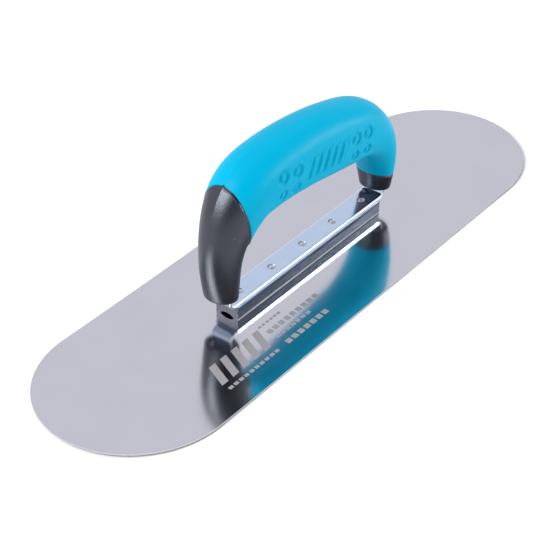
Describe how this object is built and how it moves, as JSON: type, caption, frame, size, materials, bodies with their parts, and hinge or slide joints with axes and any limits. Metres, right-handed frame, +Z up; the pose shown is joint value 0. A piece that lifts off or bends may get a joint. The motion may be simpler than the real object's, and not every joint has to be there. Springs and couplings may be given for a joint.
{
  "type": "steel finishing trowel",
  "caption": "Round-ended steel finishing trowel: thin stainless blade, riveted mounting bar and strap, closed D-shaped handle with a soft sleeve over a dark core.",
  "frame": {"origin": "on the floor under the middle of the blade, at the bottom centre of the whole tool", "axes": "+X along the blade towards the short rear leg of the handle, +Y across the blade, +Z up away from the working face"},
  "size_m": [0.358, 0.1, 0.0894],
  "materials": {
    "blade_steel": "polished",
    "bar_aluminium": "extruded",
    "plated_strap": "bright zinc plate",
    "rivet_steel": "satin",
    "core_plastic": "moulded",
    "sleeve_rubber": "soft matt"
  },
  "bodies": {
    "root": {"blade": "blade_steel", "mounting_bar": "bar_aluminium", "handle_bracket": "plated_strap", "rivet_1": "rivet_steel", "rivet_2": "rivet_steel", "rivet_3": "rivet_steel", "rivet_4": "rivet_steel", "rivet_5": "rivet_steel", "handle_core": "core_plastic", "grip_sleeve": "sleeve_rubber"}
  },
  "joints": []
}
